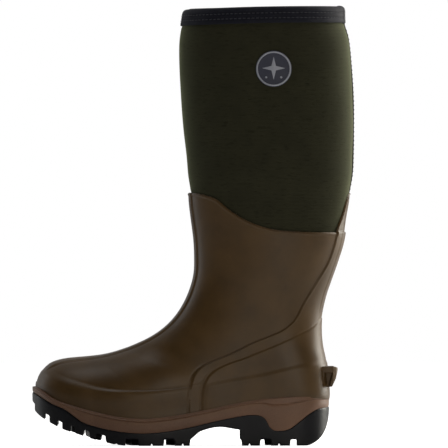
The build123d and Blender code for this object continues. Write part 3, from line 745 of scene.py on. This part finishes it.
def neoprene_leg():
    """The foam leg: gently uneven, pinched where it goes under the binding and the rubber."""
    v = even_rows(0.7, 11.6, 1.5, 0.0)
    angle = even_angles(230, CALF_SECTION)
    points = surface(v[:, None], angle[None, :], 0.0)
    x, z = points[..., 0], points[..., 2]
    top = line_distance(x, z, RUBBER_TOP)
    rim = smooth(x, TOP_LINE) - z
    slow = wobble(points, 55, 1) * 0.9 + wobble(points, 21, 5) * 0.25
    free = ramp(-top, 0, 30) * ramp(rim, BINDING_HEIGHT, BINDING_HEIGHT + 22)
    pinch = ramp(top, -3.5, 0.5) + ramp(-rim, -BINDING_HEIGHT - 2.5, -BINDING_HEIGHT)
    height = 0.7 * slow * free - 0.5 * pinch
    points = points + normals(points) * height[..., None]
    run = run_along(points[:, 0])
    around = np.linspace(0, FOAM_MAP_GIRTH, len(angle), endpoint=False)
    uv = np.stack(np.meshgrid(around, -run), -1)
    keep = ((top[:-1] + top[1:]) / 2 < 9) & ((rim[:-1] + rim[1:]) / 2 > 3)
    leg = make("neoprene_leg", points, grid_faces(*points.shape[:2], keep, flip=True), uv)
    thicken(leg, NEOPRENE - 0.3)
    finish(leg, neoprene_material(), "neoprene", "neoprene_shaft")


def leg_lining(thickness=0.6):
    """The brushed lining of the leg, slightly uneven."""
    v = even_rows(1.0, 12.2, 2.2, -NEOPRENE - LINING)
    angle = even_angles(180, CALF_SECTION)
    points = surface(v[:, None], angle[None, :], thickness - NEOPRENE - LINING)
    points = points + normals(points) * (0.25 * wobble(points, 18, 9))[..., None]
    lining = make("lining_of_leg", points, grid_faces(*points.shape[:2], flip=True))
    thicken(lining, thickness)
    fleece = fleece_material("lining_fleece", linear(44, 42, 38), linear(78, 74, 66))
    finish(lining, fleece, "lining", "lining_leg")


def binding():
    """Webbing folded over the top edge, drawn in a little by its two rows of stitches."""
    angle = even_angles(300, 1)
    top_z = smooth(leg_at(angle, BINDING_AT_Z, 0.0)[:, 0], TOP_LINE)
    inner = -NEOPRENE - LINING - BINDING_TAPE
    fold = (BINDING_TAPE - inner) / 2
    profile = [(0.1, -BINDING_HEIGHT + 0.2), (0.9, -BINDING_HEIGHT), (BINDING_TAPE, -BINDING_HEIGHT + 0.6)]
    for drop in np.arange(BINDING_HEIGHT - 1.6, fold, -0.8):
        pinch = 0.45 * sum(along_line(drop, row, 0.8) for row in STITCH_ROWS)
        profile.append((BINDING_TAPE + 0.15 - pinch, -drop))
    for k in range(13):
        turn = math.pi * k / 12
        profile.append((BINDING_TAPE - fold + fold * math.cos(turn), -fold + fold * math.sin(turn)))
    for drop in np.arange(fold + 1, BINDING_HEIGHT - 1, 1.6):
        profile.append((inner, -drop))
    profile += [(inner + 0.3, -BINDING_HEIGHT), (inner + 1.2, -BINDING_HEIGHT + 0.2)]
    points = np.array([leg_at(angle, top_z + rise, grow) for grow, rise in profile])
    points = points - normals(points) * join_lift(angle)[None, :, None]    # its rows run up the outside
    run = run_along(points[:, 0])
    around = np.linspace(0, TAPE_MAP_GIRTH, len(angle), endpoint=False)
    uv = np.stack(np.meshgrid(around, run), -1)
    faces = np.concatenate([grid_faces(*points.shape[:2]), closing(*points.shape[:2])])
    tape = make("binding_tape", points, faces, uv)
    webbing = webbing_material("binding_webbing", linear(16, 16, 23), linear(42, 44, 60))
    finish(tape, webbing, "webbing", "top_binding")


def binding_stitches():
    """Two rows of single threads, sewn all the way round the binding."""
    fine = np.linspace(0, 2 * math.pi, 1601)
    count = int(run_along(leg_at(fine, STITCHES_AT_Z, BINDING_TAPE))[-1] / STITCH_PITCH)
    run = run_along(leg_at(fine, STITCHES_AT_Z, 0.0))
    middles = (np.arange(count)[:, None] + 0.5) / count * run[-1]
    ends = np.interp(middles + np.array([-0.5, 0, 0.5]) * STITCH_LENGTH, run, fine)
    rim = smooth(leg_at(ends, STITCHES_AT_Z, 0.0)[..., 0], TOP_LINE)
    relief = BINDING_TAPE + np.array([-0.35, 0.2, -0.35]) + join_lift(ends)
    stitches = np.concatenate([leg_at(ends, rim - row, relief) for row in STITCH_ROWS])
    thread = sewn("binding_stitches", stitches, 0.42)
    finish(thread, thread_material(), "thread", "binding_stitching")


def join_lift(angle):
    """How far the binding stands out where one of its ends lies over the other."""
    return JOIN_LIFT * (1 - ramp(np.abs(angle - JOIN_ANGLE), JOIN_HALF_ANGLE - 0.01, JOIN_HALF_ANGLE))


def closing(rows, columns):
    """Quads that join a grid's last row to its first."""
    col = np.arange(columns)
    right = (col + 1) % columns
    last = (rows - 1) * columns
    return np.stack([last + col, last + right, right, col], -1)


THREAD_SIDES = 8
THREAD_WIDTHS = [(0.0, 0.15), (0.12, 0.75), (0.3, 1.0), (0.5, 1.05), (0.7, 1.0), (0.88, 0.75), (1.0, 0.15)]


def sewn(name, stitches, radius):
    """Short threads, each rounded off at both ends, along three points."""
    sides = THREAD_SIDES
    points, faces = [], []
    for a, b, c in stitches:
        run = (c - a) / np.linalg.norm(c - a)
        up = np.cross(run, [0.3, 0.2, 1.0]) if abs(run[2]) < 0.8 else np.cross(run, [0, 1, 0])
        up = up / np.linalg.norm(up)
        side = np.cross(run, up)
        first = len(points)
        for t, wide in THREAD_WIDTHS:
            centre = a * (1 - t) ** 2 + (2 * b - a / 2 - c / 2) * 2 * t * (1 - t) + c * t * t
            for k in range(sides):
                turn = 2 * math.pi * k / sides
                points.append(centre + radius * wide * (up * math.cos(turn) + side * math.sin(turn)))
        for r in range(len(THREAD_WIDTHS) - 1):
            for k in range(sides):
                n = (k + 1) % sides
                one, two = first + r * sides, first + (r + 1) * sides
                faces.append((one + k, one + n, two + n, two + k))
        faces.append(tuple(first + k for k in range(sides))[::-1])
        end = first + (len(THREAD_WIDTHS) - 1) * sides
        faces.append(tuple(end + k for k in range(sides)))
    return make(name, np.array(points), faces)


# Half of the seam tape's section: distance across it, and height over the leg.
SEAM_EDGE = [(4.2, 0.05), (4.1, 0.45), (3.6, 0.75), (2.8, 0.6), (1.5, 0.8)]
SEAM_STITCH_ROW = 2.8


def back_seam():
    """Tape over the seam down the calf, with a row of stitches along each edge."""
    heights = np.arange(SEAM_FOOT, SEAM_TOP, 1.5)
    across = [(-y, rise) for y, rise in SEAM_EDGE] + [(0, 0.85)] + SEAM_EDGE[::-1]
    offsets, grows = np.array(across).T
    points = back_point(offsets[None, :], heights[:, None], grows[None, :])
    uv = np.stack(np.meshgrid(offsets, heights - heights[0]), -1)
    tape = make("seam_tape", points, grid_faces(*points.shape[:2], closed=False), uv)
    thicken(tape, 0.4)
    webbing = webbing_material("seam_webbing", linear(28, 26, 24), linear(54, 50, 44), 0.8)
    finish(tape, webbing, "webbing", "back_seam_tape")

    places = np.arange(SEAM_FOOT + 3.8, SEAM_TOP - 4, STITCH_PITCH)[:, None] + np.array([-1.5, 0, 1.5])
    relief = np.array([0.4, 0.9, 0.4])
    rows = [back_point(side, places, relief) for side in (-SEAM_STITCH_ROW, SEAM_STITCH_ROW)]
    thread = sewn("seam_stitches", np.concatenate(rows), 0.38)
    finish(thread, bpy.data.materials["sewing_thread"], "thread", "back_seam_stitching")


def back_point(y, z, grow):
    """Points on the back of the calf, at distances across it and heights."""
    y, z, grow = line_up(y, z, grow)
    outer_side = leg_at(math.pi / 2, 340, 0.0)[1]
    angle = np.full(y.shape, math.pi)
    for _ in range(5):
        found = leg_at(angle, z, grow)
        angle = angle - (y - found[..., 1]) / outer_side
    return leg_at(angle, z, grow)


OUTWARD = np.array([0.0, -1.0, 0.0])
# Sections of the badge's round parts: radius, and height over the leg.
PLATE = [
    (BADGE_RADIUS - 0.1, -0.6), (BADGE_RADIUS, 0.2), (BADGE_RADIUS, 0.7), (BADGE_RADIUS - 0.25, 1.0),
    (BADGE_RADIUS - 0.8, 1.15), (15.4, 1.15), (14.8, 1.0), (10, 1.0), (5, 1.0), (2, 1.0), (0.05, 1.0),
]
RIM = [
    (17.4, 0.9), (17.35, 1.45), (17.1, 1.68), (16.75, 1.75), (16.4, 1.75), (16.05, 1.68), (15.8, 1.45),
    (15.75, 0.9),
]
DOT = [(1.1, 0.8), (1.05, 1.3), (0.7, 1.6), (0.05, 1.7)]
DOT_SIDES, DOT_OFFSET, DOT_DROP = 14, 7.5, 8.5
STAR_POINTS, STAR_REACH, STAR_WAIST, STAR_LIFT = 4, 11.5, 3.2, 0.6


def on_badge(x, z, rise):
    """Points over the leg, at a place from the badge's middle and a height."""
    return on_outer_side(BADGE_X + x, BADGE_Z + z, 0.0) + OUTWARD * rise


def turned(name, profile):
    """A round part of the badge, closed all round."""
    turns = np.linspace(0, 2 * math.pi, 97)[:-1]
    x, z = np.cos(turns), np.sin(turns)
    points = np.array([on_badge(radius * x, radius * z, rise) for radius, rise in profile])
    piece = make(name, points, grid_faces(*points.shape[:2])[:, ::-1])
    fix_normals(piece)
    return piece


def star():
    """A plain star with a raised middle: its points and faces."""
    corners = 2 * STAR_POINTS
    points, faces = [(0.0, STAR_LIFT, 1.75)], []
    for k in range(corners):
        reach, rise = (STAR_REACH, 1.3) if k % 2 == 0 else (STAR_WAIST, 1.45)
        turn = math.pi / 2 + 2 * math.pi * k / corners
        points.append((reach * math.cos(turn), STAR_LIFT + reach * math.sin(turn), rise))
    points += [(x, z, 0.7) for x, z, _ in points[1:]]
    for k in range(corners):
        n = (k + 1) % corners
        faces.append((0, 1 + k, 1 + n))
        faces.append((1 + k, 1 + corners + k, 1 + corners + n, 1 + n))
    return points, faces


def badge():
    """A round moulded badge with a raised rim, a four-pointed star and two dots."""
    plain = speckled_material("badge_rubber", linear(42, 45, 62), linear(52, 55, 74), 0.55, 0.6)
    finish(turned("badge_plate", PLATE), plain, "badge", "badge_disc")
    relief = speckled_material("badge_relief", linear(150, 153, 166), linear(172, 175, 186), 0.45, 0.5)
    finish(turned("badge_rim", RIM), relief, "badge_relief", "badge_ring")

    points, faces = star()
    for middle in (-DOT_OFFSET, DOT_OFFSET):
        first = len(points)
        for radius, rise in DOT:
            for turn in np.arange(DOT_SIDES) * 2 * math.pi / DOT_SIDES:
                points.append((middle + radius * math.cos(turn), radius * math.sin(turn) - DOT_DROP, rise))
        faces += [tuple(first + corner for corner in quad) for quad in grid_faces(len(DOT), DOT_SIDES)]
    x, z, rise = np.array(points).T
    emblem = make("badge_star", on_badge(x, z, rise[:, None]), faces, smooth_faces=False)
    fix_normals(emblem)
    finish(emblem, relief, "badge_relief", "badge_emblem")


def fix_normals(piece):
    """Turn every face of a closed piece outwards."""
    edit = bmesh.new()
    edit.from_mesh(piece.data)
    bmesh.ops.recalc_face_normals(edit, faces=edit.faces)
    edit.to_mesh(piece.data)
    edit.free()


# ---------------------------------------------------------------- the sole

def sole_ring(angle, inset):
    """The sole's edge in plan, moved inwards."""
    x = SOLE_MIDDLE_X + (SOLE_HEEL_X - SOLE_TOE_X) / 2 * np.cos(angle)
    toe = np.maximum(0, (TOE_ROUND_X - x) / (TOE_ROUND_X - SOLE_TOE_X))
    heel = np.maximum(0, (x - HEEL_ROUND_X) / (SOLE_HEEL_X - HEEL_ROUND_X))
    ends = np.sqrt(np.maximum(0, 1 - toe ** TOE_POWER)) * np.sqrt(np.maximum(0, 1 - heel ** 6))
    outer = np.sin(angle) < 0
    wide = (np.where(outer, smooth(x, FOOT_OUTER), smooth(x, FOOT_INNER)) + SOLE_MARGIN) * ends
    y = smooth(x, FOOT_CENTRE) + np.where(outer, -wide, wide)
    edge = np.stack([x, y], -1)
    along = np.roll(edge, -1, axis=0) - np.roll(edge, 1, axis=0)
    out = np.stack([along[:, 1], -along[:, 0]], -1)
    out /= np.maximum(np.linalg.norm(out, axis=1, keepdims=True), 1e-9)
    return edge - out * inset


def even_sole_angles(count):
    """Angles that space points evenly round the sole's edge."""
    fine = np.linspace(0, 2 * math.pi, 4001)[:-1]
    edge = sole_ring(fine, 0.0)
    run = run_along(np.r_[edge, edge[:1]])
    return np.interp(np.linspace(0, run[-1], count + 1)[:-1], run, np.r_[fine, 2 * math.pi])


# Rows of the midsole's wall. Under the heel's step: share of the wall's height, inset and rise. Over it: drop
# from the feather line, and inset.
WALL_ROWS = [
    (0.0, 9.0, -0.6), (0.0, 2.0, -0.5), (0.0, 1.0, -0.3), (0.0, 0.6, 0.2), (0.0, 0.4, 1.0), (0.12, 0.25, 0.6),
    (0.25, 0.1, 0), (0.4, 0, 0), (0.55, 0, 0), (0.68, 0, 0), (0.8, 0.05, 0),
]
LIP_ROWS = [(1.9, 0.1), (1.1, 0.15), (0.5, 0.45), (0.12, 1.0), (0.0, 1.7), (-0.02, 4.0), (-0.6, 9.0)]
WALL_TAPER, WALL_TOP, WALL_FOOT = 0.96, 70, -2


def wall_row(angle, middle, z, inset):
    """One row of the midsole's wall, which leans in a little towards the ground."""
    edge = sole_ring(angle, inset[:, None])
    lean = WALL_TAPER * (WALL_TOP - z) / (WALL_TOP - WALL_FOOT)
    away = edge - middle
    size = np.maximum(np.linalg.norm(away, axis=1), 1)
    return np.c_[edge - away / size[:, None] * lean[:, None], z]


def midsole():
    """The tan midsole's wall, softly bellied, with a rolled lip and a fine step round the heel."""
    angle = even_sole_angles(620)
    x = sole_ring(angle, 0.0)[:, 0]
    low, high = smooth(x, SWOOP_LINE), smooth(x, FEATHER_LINE)
    flat = np.zeros(len(x))
    heel = ramp(x, 84, 98)
    step = np.maximum(high - 6.2, low + (high - low) * 0.82)
    rows = [(low + (high - low) * share + rise, flat + inset) for share, inset, rise in WALL_ROWS]
    rows += [(step - 0.7, flat), (step, 0.3 * heel), (step + 0.8, 0.35 * heel)]
    rows += [(high - drop, inset + 0.4 * heel * (inset < 0.2)) for drop, inset in LIP_ROWS]
    middle = np.stack([flat + SOLE_MIDDLE_X, smooth(x, FOOT_CENTRE)], -1)
    points = np.array([wall_row(angle, middle, z, inset) for z, inset in rows])
    faces = np.concatenate([grid_faces(*points.shape[:2]), closing(*points.shape[:2])])
    piece = make("midsole_wall", points, faces)
    fix_normals(piece)
    foam = speckled_material("midsole_foam", linear(108, 76, 55), linear(122, 88, 64), 0.5, 1.1, 0.05)
    finish(piece, foam, "midsole_foam", "midsole")


def outsole():
    """The lugged outsole, from the CAD with its edges softened."""
    piece = moulded("outsole", "moulded_outsole", 0.7, 4, 0.3)
    rubber = rubber_material("outsole_rubber", linear(14, 14, 18), linear(23, 23, 28), 0.36, 0.06, 0.24)
    finish(piece, rubber, "outsole_rubber", "outsole")


# ---------------------------------------------------------------- pieces inside

def inside():
    """Give the hidden CAD pieces their own finishes, and the footbed a soft edge."""
    rubber = bpy.data.materials["boot_rubber"]
    board = speckled_material("fibre_board", linear(150, 126, 92), linear(176, 150, 112), 0.8, 1.4, 0.1)
    jersey = bpy.data.materials["neoprene_jersey"]
    fleece = bpy.data.materials["lining_fleece"]
    for node, material in (
        ("neoprene_foot", jersey), ("lining_foot", fleece), ("toe_puff", rubber), ("heel_stiffener", board),
        ("insole_board", board), ("steel_shank", steel_material()),
    ):
        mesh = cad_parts[node].data
        mesh.materials.clear()
        mesh.materials.append(material)
    bed = moulded("footbed", "moulded_footbed", 1.6, 4)
    foam = speckled_material("footbed_foam", linear(58, 58, 60), linear(84, 84, 86), 0.85, 1.2, 0.2)
    finish(bed, foam, "insole_foam", "footbed")
    cover = moulded("footbed_cover", "footbed_top_cloth", 0.5, 3)
    cloth = fleece_material("footbed_cloth", linear(70, 66, 58), linear(104, 98, 86))
    finish(cover, cloth, "insole_cover", "footbed_cover")


# ---------------------------------------------------------------- the stage

def area_light(name, place, target, size, power, colour=(1, 1, 1)):
    """A soft rectangular light, turned towards a point."""
    data = bpy.data.lights.new(name, "AREA")
    data.shape = "RECTANGLE"
    data.size, data.size_y = size
    data.energy = power
    data.color = colour
    light = linked(name, data)
    light.location = place
    light.rotation_euler = (Vector(target) - Vector(place)).to_track_quat("-Z", "Y").to_euler()


VIEW_WIDTH, CAMERA_DISTANCE, SENSOR_WIDTH = 0.448, 12.0, 36
CAMERA_X, CAMERA_Z = 0.0306, 0.221
FLOOR_SIZE, FLOOR_GLOW = 14, 0.9


def camera():
    """A long lens, level with the middle of the boot."""
    data = bpy.data.cameras.new("camera")
    data.sensor_width = SENSOR_WIDTH
    data.lens = SENSOR_WIDTH * CAMERA_DISTANCE / VIEW_WIDTH
    view = linked("camera", data)
    view.location = (CAMERA_X, -CAMERA_DISTANCE, CAMERA_Z)
    view.rotation_euler = (math.pi / 2, 0, 0)
    bpy.context.scene.camera = view


def pale_floor():
    """A white floor that shows bright without lighting the boot."""
    bpy.ops.mesh.primitive_plane_add(size=FLOOR_SIZE, location=(0, 0, 0))
    floor = bpy.context.object
    floor.name = "floor"
    n = Nodes("pale_floor")
    seen = n.add("ShaderNodeLightPath").outputs["Is Camera Ray"]
    n.feed(n.shader.inputs["Emission Strength"], n.between(seen, 0, 1, 0.0, FLOOR_GLOW))
    white = n.finish((0.9, 0.9, 0.9), 0.9, Specular_IOR_Level=0.1, Emission_Color=(1, 1, 1))
    floor.data.materials.append(white)


def studio():
    """A backdrop that shows white, and lights the boot softly, more from behind than from the front."""
    n = Nodes("studio", bpy.data.worlds, "Background")
    direction = n.add("ShaderNodeTexCoord").outputs["Generated"]
    behind = n.add("ShaderNodeSeparateXYZ", {0: direction}).outputs["Y"]
    seen = n.add("ShaderNodeLightPath").outputs["Is Camera Ray"]
    n.feed(n.shader.inputs["Color"], (1, 1, 1))
    n.feed(n.shader.inputs["Strength"], n.maths("MAXIMUM", n.between(behind, -0.1, 0.9, 0.02, 0.5), seen))
    bpy.context.scene.world = n.owner


def stage():
    """The camera, the floor, the backdrop and four soft lights."""
    bpy.context.scene.view_settings.view_transform = "Standard"
    bpy.context.scene.view_settings.look = "None"
    camera()
    pale_floor()
    studio()
    area_light("right_rim", (1.5, 0.8, 0.8), (0.03, 0, 0.28), (0.9, 1.6), 37, (1.0, 0.97, 0.88))
    area_light("left_rim", (-1.5, 0.9, 0.7), (0, 0, 0.2), (0.5, 1.4), 3.0, (0.9, 0.95, 1.0))
    area_light("front_fill", (0.8, -2.3, 0.55), (0, 0, 0.2), (0.9, 0.5), 7.0, (1.0, 0.95, 0.86))
    area_light("overhead", (0.0, -0.1, 2.2), (0, 0, 0), (1.6, 1.0), 9)


rubber_skin()
neoprene_leg()
leg_lining()
binding()
binding_stitches()
back_seam()
badge()
midsole()
outsole()
inside()
stage()
